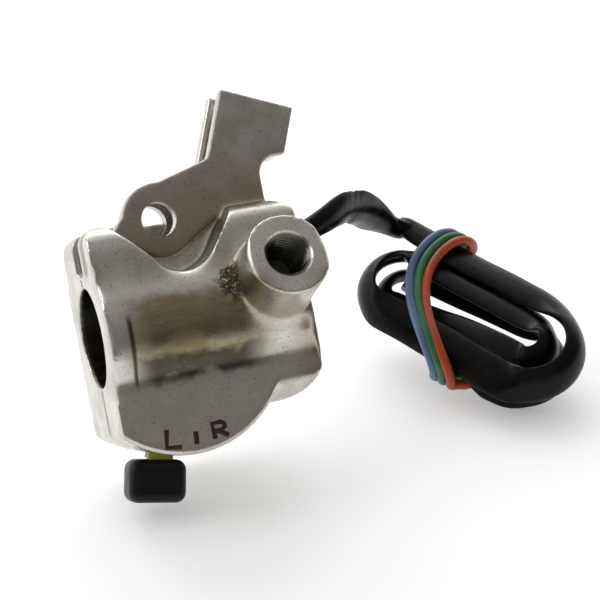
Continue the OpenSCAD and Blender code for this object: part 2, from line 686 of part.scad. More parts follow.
// Inner leads
module lead(k) posed() tube(lead_points(k), wire_d, 8, [0, 0, 1]);
module lead_blue() color("steelblue") lead(-1);
module lead_orange() color("orangered") lead(0);
module lead_green() color("seagreen") lead(1);

// Cord
module cord_grommet() color([0.1, 0.1, 0.1]) on_outlet() difference() {
    collar_end = outlet_seat + collar_t;
    union() {
        translate([0, 0, -grommet_in]) cylinder(r = grommet_r, h = grommet_in);
        translate([0, 0, outlet_seat]) cylinder(r = collar_r, h = collar_t);
        translate([0, 0, collar_end - 0.5])
            cylinder(r1 = grommet_r + 0.2, r2 = sleeve_d / 2 + 0.5, h = grommet_nose - collar_end + 0.5);
    }
    translate([0, 0, -big]) cylinder(r = sleeve_d / 2 + run_fit, h = 2 * big);
}
module cord_lead() color([0.12, 0.12, 0.13])
    tube(concat(spline(lead_route, 2), [hank_start]), sleeve_d, 10, [0, 0, 1]);
module cord_hank() color([0.12, 0.12, 0.13]) tube(hank_points, sleeve_d, 8, hank_n);
module tail(k) tube(tail_route(k), wire_d, 6, hank_u);
module tail_blue() color("steelblue") tail(-1);
module tail_green() color("seagreen") tail(0);
module tail_orange() color("orangered") tail(1);
echo(hank_gap = least_gap(hank_points, 10, sleeve_d));
echo(tail_gaps = [for (k = [-1 : 1]) least_gap(tail_route(k), 9, wire_d)]);
echo(spring_gap = least_gap(spring_points, 5, spring_wire));

front_housing();
rear_housing();
clamp_screws();
clamp_washers();
switch_arm();
switch_knob();
wiper_contact();
wiper_spring();
pivot_pin();
pivot_clip();
detent_spring();
contact_plate();
plate_screws();
fixed_contacts();
solder_tags();
lead_blue();
lead_orange();
lead_green();
cord_grommet();
cord_lead();
cord_hank();
tail_blue();
tail_green();
tail_orange();
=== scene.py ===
import bpy
import math
from mathutils import Matrix, Vector, noise


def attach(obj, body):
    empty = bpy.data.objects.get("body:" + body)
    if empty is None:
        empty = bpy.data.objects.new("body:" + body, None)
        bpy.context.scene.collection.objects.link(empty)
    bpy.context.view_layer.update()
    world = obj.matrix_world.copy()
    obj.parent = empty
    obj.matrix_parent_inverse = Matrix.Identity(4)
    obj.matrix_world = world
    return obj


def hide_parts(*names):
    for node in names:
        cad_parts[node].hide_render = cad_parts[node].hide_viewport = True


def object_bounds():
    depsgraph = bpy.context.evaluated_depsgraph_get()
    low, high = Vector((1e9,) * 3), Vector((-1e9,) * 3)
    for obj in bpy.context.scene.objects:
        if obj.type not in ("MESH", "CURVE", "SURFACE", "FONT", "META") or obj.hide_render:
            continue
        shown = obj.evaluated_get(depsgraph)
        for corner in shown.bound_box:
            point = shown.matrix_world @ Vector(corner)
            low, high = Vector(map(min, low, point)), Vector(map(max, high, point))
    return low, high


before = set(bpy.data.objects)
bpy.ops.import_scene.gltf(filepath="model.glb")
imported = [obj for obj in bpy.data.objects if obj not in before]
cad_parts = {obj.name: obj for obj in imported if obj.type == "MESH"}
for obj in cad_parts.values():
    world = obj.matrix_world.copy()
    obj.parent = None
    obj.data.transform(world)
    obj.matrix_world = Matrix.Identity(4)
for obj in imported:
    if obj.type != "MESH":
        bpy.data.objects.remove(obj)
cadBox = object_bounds()
mm = 0.001
print("frame loaded:", len(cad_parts), "nodes")

# the fitting leans back about the bar, so its pieces are worked upright and then leaned
lean = math.radians(30)
leanMatrix = Matrix.Rotation(-lean, 4, "X")
uprightMatrix = leanMatrix.inverted()


def smoothStep(low, high, x):
    t = min(1, max(0, (x - low) / (high - low)))
    return t * t * (3 - 2 * t)


def deselectAll():
    if bpy.context.object and bpy.context.object.mode != "OBJECT":
        bpy.ops.object.mode_set(mode="OBJECT")
    bpy.ops.object.select_all(action="DESELECT")


def makeActive(obj):
    deselectAll()
    obj.select_set(True)
    bpy.context.view_layer.objects.active = obj


def applyAll(obj):
    makeActive(obj)
    for modifier in list(obj.modifiers):
        bpy.ops.object.modifier_apply(modifier=modifier.name)


def applyPlace(obj, matrix):
    # puts the place into the mesh, so that the object stays at the origin
    obj.matrix_world = matrix
    makeActive(obj)
    bpy.ops.object.transform_apply(location=True, rotation=True, scale=True)


def meshObject(name, points, faces):
    mesh = bpy.data.meshes.new(name)
    mesh.from_pydata(points, [], faces)
    obj = bpy.data.objects.new(name, mesh)
    bpy.context.scene.collection.objects.link(obj)
    return obj


def cadCopy(node, name):
    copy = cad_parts[node].copy()
    copy.data = copy.data.copy()
    copy.name = name
    copy.data.name = name
    for key in list(copy.keys()):
        del copy[key]
    copy.parent = None
    bpy.context.scene.collection.objects.link(copy)
    makeActive(copy)
    bpy.ops.object.mode_set(mode="EDIT")
    bpy.ops.mesh.select_all(action="SELECT")
    bpy.ops.mesh.remove_doubles(threshold=1e-6)
    bpy.ops.object.mode_set(mode="OBJECT")
    copy.data.materials.clear()
    return copy


def joinInto(obj, others):
    makeActive(obj)
    for other in others:
        other.select_set(True)
    bpy.ops.object.join()


def setMaterial(obj, material):
    obj.data.materials.clear()
    obj.data.materials.append(material)


# camera: turned about the object as the photo shows it, 90 mm lens
viewSet = {"azimuth": -22, "elevation": 28, "distance": 340.9 * mm, "lens": 90,
           "aim": (21.2 * mm, -6.5 * mm, 3.65 * mm)}


def makeCamera(s):
    a, e = math.radians(s["azimuth"]), math.radians(s["elevation"])
    back = Vector((math.sin(a) * math.cos(e), -math.cos(a) * math.cos(e), math.sin(e)))
    bpy.ops.object.camera_add(location=Vector(s["aim"]) + s["distance"] * back)
    camera = bpy.context.object
    camera.rotation_mode = "QUATERNION"
    camera.rotation_quaternion = (-back).to_track_quat("-Z", "Y")
    camera.data.lens = s["lens"]
    camera.data.sensor_width = 36
    camera.data.clip_start = 0.01
    bpy.context.scene.camera = camera


makeCamera(viewSet)
print("camera set")


# shader helpers
def newMaterial(name):
    material = bpy.data.materials.new(name)
    material.use_nodes = True
    nodes = material.node_tree.nodes
    return material, nodes, material.node_tree.links, nodes["Principled BSDF"]


def addNode(nodes, kind, **settings):
    node = nodes.new(kind)
    for key, value in settings.items():
        setattr(node, key, value)
    return node


def setInputs(node, **values):
    for key, value in values.items():
        node.inputs[key.replace("_", " ")].default_value = value


def mathNode(nodes, links, operation, a, b):
    node = addNode(nodes, "ShaderNodeMath", operation=operation)
    for slot, value in ((0, a), (1, b)):
        if isinstance(value, (int, float)):
            node.inputs[slot].default_value = value
        else:
            links.new(value, node.inputs[slot])
    return node.outputs[0]


def times(nodes, links, first, *others):
    for other in others:
        first = mathNode(nodes, links, "MULTIPLY", first, other)
    return first


def mixColor(nodes, links, factor, a, b):
    node = addNode(nodes, "ShaderNodeMix", data_type="RGBA")
    for slot, value in (("Factor", factor), ("A", a), ("B", b)):
        socket = next(i for i in node.inputs if i.name == slot and i.enabled)
        if isinstance(value, (int, float)):
            socket.default_value = value
        elif isinstance(value, tuple):
            socket.default_value = (*value, 1)
        else:
            links.new(value, socket)
    return next(o for o in node.outputs if o.enabled)


def rangeNode(nodes, links, value, fromMin, fromMax, toMin=0, toMax=1):
    node = addNode(nodes, "ShaderNodeMapRange", interpolation_type="SMOOTHSTEP")
    links.new(value, node.inputs["Value"])
    for key, number in (("From Min", fromMin), ("From Max", fromMax), ("To Min", toMin), ("To Max", toMax)):
        node.inputs[key].default_value = number
    return node.outputs["Result"]


def bandNode(nodes, links, value, low, high, soft):
    # 1 between low and high, easing to 0 over soft
    up = rangeNode(nodes, links, value, low - soft, low + soft)
    down = rangeNode(nodes, links, value, high - soft, high + soft, 1, 0)
    return times(nodes, links, up, down)


def noiseNode(nodes, links, vector, scale, detail=4, rough=0.55, distort=0):
    node = addNode(nodes, "ShaderNodeTexNoise")
    links.new(vector, node.inputs["Vector"])
    setInputs(node, Scale=scale, Detail=detail, Roughness=rough, Distortion=distort)
    return node.outputs["Fac"]


def bumpNode(nodes, links, height, strength, distance):
    node = addNode(nodes, "ShaderNodeBump")
    setInputs(node, Strength=strength, Distance=distance)
    links.new(height, node.inputs["Height"])
    return node.outputs["Normal"]


# surface grain shared by the metals and plastics: clouds, specks and a fine height
def makeGrainGroup():
    group = bpy.data.node_groups.new("surfaceGrain", "ShaderNodeTree")
    sockets = group.interface
    sockets.new_socket("Vector", in_out="INPUT", socket_type="NodeSocketVector")
    for name, value in (("Cloud Scale", 90.0), ("Speck Scale", 2200.0), ("Speck Amount", 0.5)):
        sockets.new_socket(name, in_out="INPUT", socket_type="NodeSocketFloat").default_value = value
    for name in ("Cloud", "Speck", "Height"):
        sockets.new_socket(name, in_out="OUTPUT", socket_type="NodeSocketFloat")
    nodes, links = group.nodes, group.links
    inside = nodes.new("NodeGroupInput")
    outside = nodes.new("NodeGroupOutput")
    cloud = addNode(nodes, "ShaderNodeTexNoise")
    speck = addNode(nodes, "ShaderNodeTexNoise")
    setInputs(cloud, Detail=5.0, Roughness=0.6, Distortion=0.4)
    setInputs(speck, Detail=2.0, Roughness=0.7)
    links.new(inside.outputs["Vector"], cloud.inputs["Vector"])
    links.new(inside.outputs["Vector"], speck.inputs["Vector"])
    links.new(inside.outputs["Cloud Scale"], cloud.inputs["Scale"])
    links.new(inside.outputs["Speck Scale"], speck.inputs["Scale"])
    pits = rangeNode(nodes, links, speck.outputs["Fac"], 0.58, 0.74)
    cloudOut = rangeNode(nodes, links, cloud.outputs["Fac"], 0.3, 0.7)
    speckOut = times(nodes, links, pits, inside.outputs["Speck Amount"])
    height = mathNode(nodes, links, "SUBTRACT", times(nodes, links, cloudOut, 0.5), speckOut)
    links.new(cloudOut, outside.inputs["Cloud"])
    links.new(speckOut, outside.inputs["Speck"])
    links.new(height, outside.inputs["Height"])
    return group


grainGroup = makeGrainGroup()


def addGrain(nodes, links, vector, cloudScale, speckScale, speckAmount):
    node = addNode(nodes, "ShaderNodeGroup", node_tree=grainGroup)
    links.new(vector, node.inputs["Vector"])
    node.inputs["Cloud Scale"].default_value = cloudScale
    node.inputs["Speck Scale"].default_value = speckScale
    node.inputs["Speck Amount"].default_value = speckAmount
    return node.outputs["Cloud"], node.outputs["Speck"], node.outputs["Height"]


# castings: mesh size, easing, and the bores in millimetres
castSet = {
    "voxel": 0.42 * mm, "easeAll": 8, "easeBlend": 120, "easeFactor": 0.5, "smoothAngle": 38,
    "pivot": (-7.4, 23.3), "pivotRadius": 4, "pivotPlugHalf": 6.5, "pivotCutHalf": 20, "slotHalf": 3.05,
    "bossAlong": 13.6, "bossTilt": 20, "bossReach": 29.6,
    "threadRadius": 4.4, "threadRoot": 5.0, "threadDepth": 15.5, "threadMouth": 1.0,
    "blockCorner": (12.3, 50.2), "blockTurn": 21.6, "blockWide": 17.6,
    "adjusterDrop": 5, "adjusterRadius": 3.4, "adjusterRoot": 4.0, "adjusterDepth": 9.5, "adjusterMouth": 0.6,
    "adjusterPlug": 5, "plugOver": 0.3, "mouthOver": 1.2, "mouthDepth": 2, "cutOver": 1,
    "pitch": 1.25, "threadSides": 64, "threadSteps": 10, "threadCrest": 0.38, "rodSides": 96,
}

# polished cast alloy: painted reflection and painted shade on the barrel, browned on the perch, grimed at the
# boss, painted shade in the bores and beyond the boss; places in mm
alloySet = {
    "pale": (0.64, 0.615, 0.575), "cloudy": (0.52, 0.495, 0.45), "pit": (0.16, 0.14, 0.12),
    "oliveReflection": (0.265, 0.225, 0.12), "dark": (0.045, 0.042, 0.03), "gold": (0.55, 0.42, 0.2),
    "brown": (0.40, 0.345, 0.285), "blockGrey": (0.50, 0.475, 0.45),
    "perchFoot": (0.25, 0.23, 0.16), "perchPatch": (0.28, 0.24, 0.195),
    "grain": (130, 2200, 1.0), "rough": (0.24, 0.36), "perchRough": 0.12, "grimeRough": 0.3,
    "bump": 0.22, "bumpDeep": 0.06,
    # painted reflection and painted shade bands on the barrel's front
    "oliveReflectionBand": (-8.5, 6.0, 1.8), "creaseShadeBand": (-11.8, -6.6, 1.3), "reflectionBandAlong": (-20, 7.5, 4.5),
    "reflectionBandFront": (-8.5, -10.2), "wander": 1.6, "streakStretch": 0.12, "darkShare": 0.93,
    "flangeLine": (-21.4, -20.4, 0.35), "flangeTall": (-12, 3, 1.5),
    "perchBack": (-5.6, -6.2), "perchFront": (-10.5, -9), "perchUp": (12, 15), "perchShare": 0.9,
    "footUp": (13, 25), "blockUp": (26, 38),
    "grimeAt": (4.6, -15.5, 6.5), "grimeNear": (7.5, 2.5), "grimeGain": 0.42, "goldShare": 0.7,
    "boreEdge": (5.25, 4.8), "boreFront": (-13.2, -14), "boreShare": 0.85,
    "barEdge": (11.4, 11.15), "barShare": 0.93,
    "shadeAlong": (14, 20), "shadeFront": (-2, -6), "shadeUp": (9, 4), "shadeShare": 0.75,
    "wanderNoise": (160, 3, 0.5), "streakNoise": (700, 3, 0.6), "chipNoise": (520, 5, 0.65, 0.8),
    "flakeNoise": (900, 4, 0.7, 1.2),
}


def scaled(values):
    return [v * mm for v in values]


def splitPlace(nodes, links, vector):
    split = addNode(nodes, "ShaderNodeSeparateXYZ")
    links.new(vector, split.inputs[0])
    return split.outputs["X"], split.outputs["Y"], split.outputs["Z"]


def radiusFrom(nodes, links, vector, first, second):
    # distance from an axis, by the two coordinates across it
    places = dict(zip("XYZ", splitPlace(nodes, links, vector)))
    across = addNode(nodes, "ShaderNodeCombineXYZ")
    for name in (first, second):
        links.new(places[name], across.inputs[name])
    span = addNode(nodes, "ShaderNodeVectorMath", operation="LENGTH")
    links.new(across.outputs[0], span.inputs[0])
    return span.outputs["Value"]


def paintBarrelReflectionAndShade(nodes, links, s, upright, wander, color):
    # painted reflection: an olive band of dull surroundings streaked along the bar; painted shade: dark at
    # its foot in the crease and in a line beside the flange
    x, y, z = splitPlace(nodes, links, upright)
    stretch = addNode(nodes, "ShaderNodeMapping")
    stretch.inputs["Scale"].default_value = (s["streakStretch"], 1, 1)
    links.new(upright, stretch.inputs["Vector"])
    streak = noiseNode(nodes, links, stretch.outputs["Vector"], *s["streakNoise"])
    shift = rangeNode(nodes, links, wander, 0.2, 0.8, -s["wander"] * mm, s["wander"] * mm)
    moved = mathNode(nodes, links, "ADD", z, shift)
    front = rangeNode(nodes, links, y, *scaled(s["reflectionBandFront"]))
    along = times(nodes, links, bandNode(nodes, links, x, *scaled(s["reflectionBandAlong"])), front)
    # painted reflection: the olive band stands for dull surroundings reflected in the barrel
    oliveReflection = times(nodes, links, bandNode(nodes, links, moved, *scaled(s["oliveReflectionBand"])), along,
                  rangeNode(nodes, links, streak, 0.25, 0.6, 0.7, 1))
    color = mixColor(nodes, links, oliveReflection, color, s["oliveReflection"])
    # painted shade: dark in the crease at the band's foot and in a line at the flange's corner
    foot = times(nodes, links, bandNode(nodes, links, moved, *scaled(s["creaseShadeBand"])), along)
    thin = times(nodes, links, oliveReflection, rangeNode(nodes, links, streak, 0.45, 0.36, 0, 0.5))
    flange = times(nodes, links, bandNode(nodes, links, x, *scaled(s["flangeLine"])),
                   bandNode(nodes, links, z, *scaled(s["flangeTall"])))
    dark = mathNode(nodes, links, "MAXIMUM", foot, mathNode(nodes, links, "MAXIMUM", thin, flange))
    return mixColor(nodes, links, times(nodes, links, dark, s["darkShare"]), color, s["dark"])


def brownPerch(nodes, links, s, upright, wander, color):
    # olive brown at the plate's foot, greyer up on the cable block
    _, y, z = splitPlace(nodes, links, upright)
    perch = times(nodes, links, rangeNode(nodes, links, y, *scaled(s["perchFront"])),
                  rangeNode(nodes, links, z, *scaled(s["perchUp"])),
                  rangeNode(nodes, links, y, *scaled(s["perchBack"])))
    aboveFoot = rangeNode(nodes, links, z, *scaled(s["footUp"]))
    onBlock = rangeNode(nodes, links, z, *scaled(s["blockUp"]))
    patch = rangeNode(nodes, links, wander, 0.35, 0.65, 0, 0.45)
    tint = mixColor(nodes, links, aboveFoot, s["perchFoot"], s["brown"])
    tint = mixColor(nodes, links, onBlock, tint, s["blockGrey"])
    tint = mixColor(nodes, links, patch, tint, s["perchPatch"])
    return mixColor(nodes, links, times(nodes, links, perch, s["perchShare"]), color, tint), perch


def grimeBoss(nodes, links, s, upright, color):
    # dark grime and gold chips round one spot at the boss's foot
    spot = addNode(nodes, "ShaderNodeVectorMath", operation="DISTANCE")
    spot.inputs[1].default_value = scaled(s["grimeAt"])
    links.new(upright, spot.inputs[0])
    near = rangeNode(nodes, links, spot.outputs["Value"], *scaled(s["grimeNear"]))
    chip = noiseNode(nodes, links, upright, *s["chipNoise"])
    reach = mathNode(nodes, links, "ADD", chip, times(nodes, links, near, s["grimeGain"]))
    grime = times(nodes, links, rangeNode(nodes, links, reach, 0.72, 0.82), near)
    color = mixColor(nodes, links, grime, color, s["dark"])
    flake = noiseNode(nodes, links, upright, *s["flakeNoise"])
    gold = times(nodes, links, rangeNode(nodes, links, flake, 0.55, 0.62), near, s["goldShare"])
    return mixColor(nodes, links, gold, color, s["gold"]), grime


def shadeThreadBore(nodes, links, s, upright, color):
    # painted shade: darkens the inside of the threaded bore in the boss
    # turned so that the boss's axis is y
    axis = addNode(nodes, "ShaderNodeMapping")
    axis.inputs["Location"].default_value = (-castSet["bossAlong"] * mm, 0, 0)
    axis.inputs["Rotation"].default_value = (math.radians(castSet["bossTilt"]), 0, 0)
    links.new(upright, axis.inputs["Vector"])
    radius = radiusFrom(nodes, links, axis.outputs["Vector"], "X", "Z")
    _, y, _ = splitPlace(nodes, links, upright)
    bore = times(nodes, links, rangeNode(nodes, links, radius, *scaled(s["boreEdge"])),
                 rangeNode(nodes, links, y, *scaled(s["boreFront"])), s["boreShare"])
    return mixColor(nodes, links, bore, color, s["dark"])


def shadeInboard(nodes, links, s, upright, color):
    # painted shade: the casting is painted browner beyond the boss, where it lies in shade
    x, y, z = splitPlace(nodes, links, upright)
    shade = times(nodes, links, rangeNode(nodes, links, x, *scaled(s["shadeAlong"]), 0, s["shadeShare"]),
                  rangeNode(nodes, links, y, *scaled(s["shadeFront"])),
                  rangeNode(nodes, links, z, *scaled(s["shadeUp"])))
    return mixColor(nodes, links, shade, color, s["brown"])


def makeAlloy(name, s, stainedAndShaded):
    material, nodes, links, shader = newMaterial(name)
    turn = addNode(nodes, "ShaderNodeMapping")
    turn.inputs["Rotation"].default_value = (lean, 0, 0)
    links.new(addNode(nodes, "ShaderNodeTexCoord").outputs["Object"], turn.inputs["Vector"])
    upright = turn.outputs["Vector"]
    cloud, speck, height = addGrain(nodes, links, upright, *s["grain"])
    color = mixColor(nodes, links, cloud, s["pale"], s["cloudy"])
    rough = rangeNode(nodes, links, cloud, 0, 1, *s["rough"])
    # the stained and shaded casting: real grime and browning, with painted reflection and painted shade
    if stainedAndShaded:
        wander = noiseNode(nodes, links, upright, *s["wanderNoise"])
        color = paintBarrelReflectionAndShade(nodes, links, s, upright, wander, color)
        color, perch = brownPerch(nodes, links, s, upright, wander, color)
        color, grime = grimeBoss(nodes, links, s, upright, color)
        color = shadeThreadBore(nodes, links, s, upright, color)
        color = shadeInboard(nodes, links, s, upright, color)
        rough = mathNode(nodes, links, "ADD", rough, times(nodes, links, perch, s["perchRough"]))
        rough = mathNode(nodes, links, "ADD", rough, times(nodes, links, grime, s["grimeRough"]))
    color = mixColor(nodes, links, speck, color, s["pit"])
    # painted shade: the bar's bore is darkened nearly to black
    fromBar = radiusFrom(nodes, links, upright, "Y", "Z")
    inBore = rangeNode(nodes, links, fromBar, *scaled(s["barEdge"]), 0, s["barShare"])
    color = mixColor(nodes, links, inBore, color, s["dark"])  # the bar's bore is left black
    links.new(color, shader.inputs["Base Color"])
    links.new(rough, shader.inputs["Roughness"])
    links.new(bumpNode(nodes, links, height, s["bump"], s["bumpDeep"] * mm), shader.inputs["Normal"])
    shader.inputs["Metallic"].default_value = 1
    return material


alloyFront = makeAlloy("stainedAndShadedAlloy", alloySet, True)
alloyRear = makeAlloy("polishedAlloy", alloySet, False)

# plain finishes for plastic, rubber, board and small metal: main colour, cloud colour, roughness
finishSet = {
    "screwSteel": {"color": (0.56, 0.54, 0.50), "shade": (0.34, 0.32, 0.28), "rough": 0.28, "metal": 1},
    "springSteel": {"color": (0.62, 0.63, 0.66), "shade": (0.45, 0.46, 0.50), "rough": 0.22, "metal": 1},
    "armNylon": {"color": (0.50, 0.55, 0.06), "shade": (0.36, 0.42, 0.05), "rough": 0.38, "specks": 0.2},
    "knobBlack": {"color": (0.003, 0.0032, 0.003), "shade": (0.006, 0.006, 0.0055), "rough": 0.34,
                  "cloudScale": 300, "bump": 0.3, "shine": 0.22},
    "contactBrass": {"color": (0.72, 0.50, 0.18), "shade": (0.50, 0.33, 0.12), "rough": 0.3, "metal": 1},
    "plateBoard": {"color": (0.20, 0.10, 0.045), "shade": (0.13, 0.06, 0.03), "rough": 0.45},
    "wireBlue": {"color": (0.10, 0.20, 0.31), "shade": (0.075, 0.155, 0.25), "rough": 0.33, "specks": 0.15},
    "wireGreen": {"color": (0.04, 0.19, 0.075), "shade": (0.028, 0.14, 0.05), "rough": 0.33, "specks": 0.15},
    "wireOrange": {"color": (0.52, 0.075, 0.018), "shade": (0.40, 0.055, 0.013), "rough": 0.33,
                   "specks": 0.15},
    "grommetRubber": {"color": (0.02, 0.02, 0.02), "shade": (0.032, 0.032, 0.032), "rough": 0.55},
    "markPaint": {"color": (0.05, 0.005, 0.008), "shade": (0.03, 0.003, 0.005), "rough": 0.4, "specks": 0.5},
}
finishGrain = {"speckScale": 2400, "speckDark": 0.55, "roughSpread": 0.12, "bumpDeep": 0.05 * mm}


def makeFinish(name, color, shade, rough, metal=0, cloudScale=160, specks=0.4, bump=0.2, shine=0.5):
    material, nodes, links, shader = newMaterial(name)
    place = addNode(nodes, "ShaderNodeTexCoord").outputs["Object"]
    cloud, speck, height = addGrain(nodes, links, place, cloudScale, finishGrain["speckScale"], specks)
    tint = mixColor(nodes, links, cloud, color, shade)
    tint = mixColor(nodes, links, speck, tint, tuple(finishGrain["speckDark"] * c for c in shade))
    links.new(tint, shader.inputs["Base Color"])
    spread = times(nodes, links, cloud, finishGrain["roughSpread"])
    roughness = mathNode(nodes, links, "ADD", spread, rough)
    links.new(roughness, shader.inputs["Roughness"])
    links.new(bumpNode(nodes, links, height, bump, finishGrain["bumpDeep"]), shader.inputs["Normal"])
    shader.inputs["Metallic"].default_value = metal
    shader.inputs["Specular IOR Level"].default_value = shine
    return material


finishes = {name: makeFinish(name, **values) for name, values in finishSet.items()}

# sleeve finish: black soft plastic, faintly mottled
sleeveLook = {
    "black": (0.0025, 0.0025, 0.0025), "worn": (0.0055, 0.0055, 0.005), "speck": (0.014, 0.014, 0.013),
    "grain": (130, 1900, 0.35), "rough": (0.22, 0.34), "bump": 0.3, "bumpDeep": 0.08, "shine": 0.15,
}


def makeSleeveFinish(s):
    material, nodes, links, shader = newMaterial("sleeveBlack")
    place = addNode(nodes, "ShaderNodeTexCoord").outputs["Object"]
    cloud, speck, height = addGrain(nodes, links, place, *s["grain"])
    tint = mixColor(nodes, links, cloud, s["black"], s["worn"])
    tint = mixColor(nodes, links, speck, tint, s["speck"])
    links.new(tint, shader.inputs["Base Color"])
    links.new(rangeNode(nodes, links, cloud, 0, 1, *s["rough"]), shader.inputs["Roughness"])
    links.new(bumpNode(nodes, links, height, s["bump"], s["bumpDeep"] * mm), shader.inputs["Normal"])
    shader.inputs["Specular IOR Level"].default_value = s["shine"]
    return material


finishes["sleeveBlack"] = makeSleeveFinish(sleeveLook)
print("finishes made:", len(finishes) + 2)

# cord: the outlet's place, then the route through listed points, then the hank's laps by formula, all in
# millimetres
cordSet = {
    "outlet": (23, 11, 12.5), "outletRise": 20, "outletSteps": (-7, 0, 5, 10),
    "arch": [(38, 19, 9.8), (43.5, 22.5, 10), (49, 27, 8), (54.5, 31.8, 4),
             (60, 37, -1.5), (65, 40.5, -5.5), (69.5, 40.5, -7.9)],
    "sleeve": 5.2, "wire": 1.8, "leadSteps": 8,
    "hankMid": (74, 12.5, -22), "heading": -57, "dip": 11, "roll": 25,
    "halfLength": 33, "halfWidth": 15, "step": 6.5, "layer": 5.7, "lastRun": 1.15,
    "waist": 0.97, "waistLong": 9, "tieAt": -7, "lapRings": 96, "endRings": 24,
}


def leaned(p):
    return leanMatrix @ Vector(p)


def splineThrough(points, steps):
    out = []
    last = len(points) - 1
    for i in range(last):
        a, b, c, d = points[max(i - 1, 0)], points[i], points[i + 1], points[min(i + 2, last)]
        for j in range(steps):
            s = j / steps
            out.append(b + 0.5 * s * (c - a + s * (2 * a - 5 * b + 4 * c - d + s * (3 * (b - c) + d - a))))
    return out + [points[-1]]


class Hank:
    # laps counted from the far run, spiralling in on the upper layer and out again on the lower one
    def __init__(self, s):
        h, dip, roll = (math.radians(s[name]) for name in ("heading", "dip", "roll"))
        self.s = s
        self.mid = Vector(s["hankMid"])
        self.u = Vector((math.cos(h) * math.cos(dip), math.sin(h) * math.cos(dip), -math.sin(dip)))
        across = Vector((-math.sin(h), math.cos(h), 0))
        self.v = math.cos(roll) * across + math.sin(roll) * self.u.cross(across)
        self.n = self.u.cross(self.v)
        self.end = s["halfLength"] - s["halfWidth"]
        run, arc = 2 * self.end, math.pi * s["halfWidth"]
        self.run = run / (2 * (run + arc))
        self.arc = arc / (2 * (run + arc))
        self.back = 1 + self.run + self.arc + self.run / 2
        self.last = 2 + self.arc + s["lastRun"] * self.run

    def place(self, q):
        return self.mid + q[0] * self.u + q[1] * self.v + q[2] * self.n

    def inset(self, t):
        return self.s["step"] * min(t, 2 * self.back - t)

    def height(self, t):
        return self.s["layer"] * (0.5 - smoothStep(0, 1, (t - self.back) / self.run + 0.5))

    def waist(self, u):
        return 1 - (1 - self.s["waist"]) * math.exp(-((u - self.s["tieAt"]) / self.s["waistLong"]) ** 2)

    def track(self, f, w):
        run, arc, end = self.run, self.arc, self.end
        if f < run:
            return -end + 2 * end * f / run, w
        if f < run + arc:
            a = math.pi * (f - run) / arc
            return end + w * math.sin(a), w * math.cos(a)
        if f < 2 * run + arc:
            return end - 2 * end * (f - run - arc) / run, -w
        a = math.pi * (f - 2 * run - arc) / arc
        return -end - w * math.sin(a), -w * math.cos(a)

    def point(self, t):
        u, v = self.track(t - math.floor(t), self.s["halfWidth"] - self.inset(t))
        return self.place((u, v * self.waist(u), self.height(t)))

    def onEnd(self, t):
        # 0 along the runs, 1 round the end loops
        f = (t - math.floor(t)) % 0.5
        return smoothStep(self.run - 0.03, self.run + 0.06, f) * smoothStep(0.5, 0.44, f)


hank = Hank(cordSet)
lapCount = math.ceil(hank.last * cordSet["lapRings"])
lapTurns = [hank.last * i / lapCount for i in range(lapCount + 1)]
lapPoints = [hank.point(t) for t in lapTurns]
endStep = hank.last / math.ceil(hank.last * cordSet["endRings"])
startDir = (hank.point(endStep) - lapPoints[0]).normalized()
endDir = (lapPoints[-1] - hank.point(hank.last - endStep)).normalized()
hankStart = lapPoints[0] - cordSet["sleeve"] * startDir
hankEnd = lapPoints[-1] + cordSet["sleeve"] * endDir


def outletPoint(s):
    rise = math.radians(cordSet["outletRise"])
    return leaned(Vector(cordSet["outlet"]) + s * Vector((math.cos(rise), 0, math.sin(rise))))


leadPoints = [outletPoint(s) for s in cordSet["outletSteps"]] + [Vector(p) for p in cordSet["arch"]]
leadPoints += [hankStart - cordSet["sleeve"] * startDir, hankStart]
leadLine = splineThrough(leadPoints, cordSet["leadSteps"])
sleeveLine = leadLine + lapPoints + [hankEnd]
lineTurns = [None] * len(leadLine) + lapTurns + [hank.last]


def lineLength(points):
    return sum((b - a).length for a, b in zip(points, points[1:]))


leadLong = lineLength(leadLine)
wholeLong = lineLength(sleeveLine)

# sleeve: a soft tube, round at the outlet, creased on the arch, flattened and tilted in the hank
sleeveSet = {
    "sides": 32, "wide": 9.6, "thick": 3.3, "runTilt": 22, "endTilt": 60, "twistFrom": 0.3,
    "flatFrom": 12, "flatTo": 38, "endRound": 8, "turnIn": 9, "turnLong": 8, "turnRound": 0.65,
    "crease": 35, "creaseLong": 3.2, "creaseDepth": 0.13, "ripple": 0.25, "rippleWave": (2.3, 3, 0.6),
    "sag": 0.18, "sagScale": (0.11, 1.4), "lens": 0.3, "smoothAngle": 50,
}


def lapWide(s, tangent, turn):
    # the flattened sleeve's broad side: nearly flat in the runs, standing up round the ends
    tilt = math.radians(s["runTilt"] + (s["endTilt"] - s["runTilt"]) * hank.onEnd(turn))
    out = tangent.cross(hank.n).normalized()
    return math.cos(tilt) * out + math.sin(tilt) * out.cross(tangent)


def leadTwist(s, carried, tangent):
    # the least turn that brings the carried broad side onto the hank's, which is the same after half a turn
    aim = lapWide(s, tangent, 0)
    twist = math.atan2(tangent.dot(carried.cross(aim)), carried.dot(aim))
    least = (twist + math.pi / 2) % math.pi - math.pi / 2
    return least, 1 if abs(least - twist) < 1 else -1


def sleeveWides(s, tangents, runs):
    # the broad side at each ring: carried along the lead with a slow twist, then set by the hank
    leadCount = len(leadLine)
    carried = [Vector((0, 0, 1))]
    for tangent in tangents[:leadCount]:
        carried.append((carried[-1] - tangent * carried[-1].dot(tangent)).normalized())
    twist, lapSide = leadTwist(s, carried[-1], tangents[leadCount - 1])
    wides = []
    for i in range(leadCount):
        turn = twist * smoothStep(s["twistFrom"], 1, runs[i] / leadLong)
        wides.append(Matrix.Rotation(turn, 3, tangents[i]) @ carried[i + 1])
    for i in range(leadCount, len(tangents)):
        wides.append(lapSide * lapWide(s, tangents[i], lineTurns[i]))
    return wides


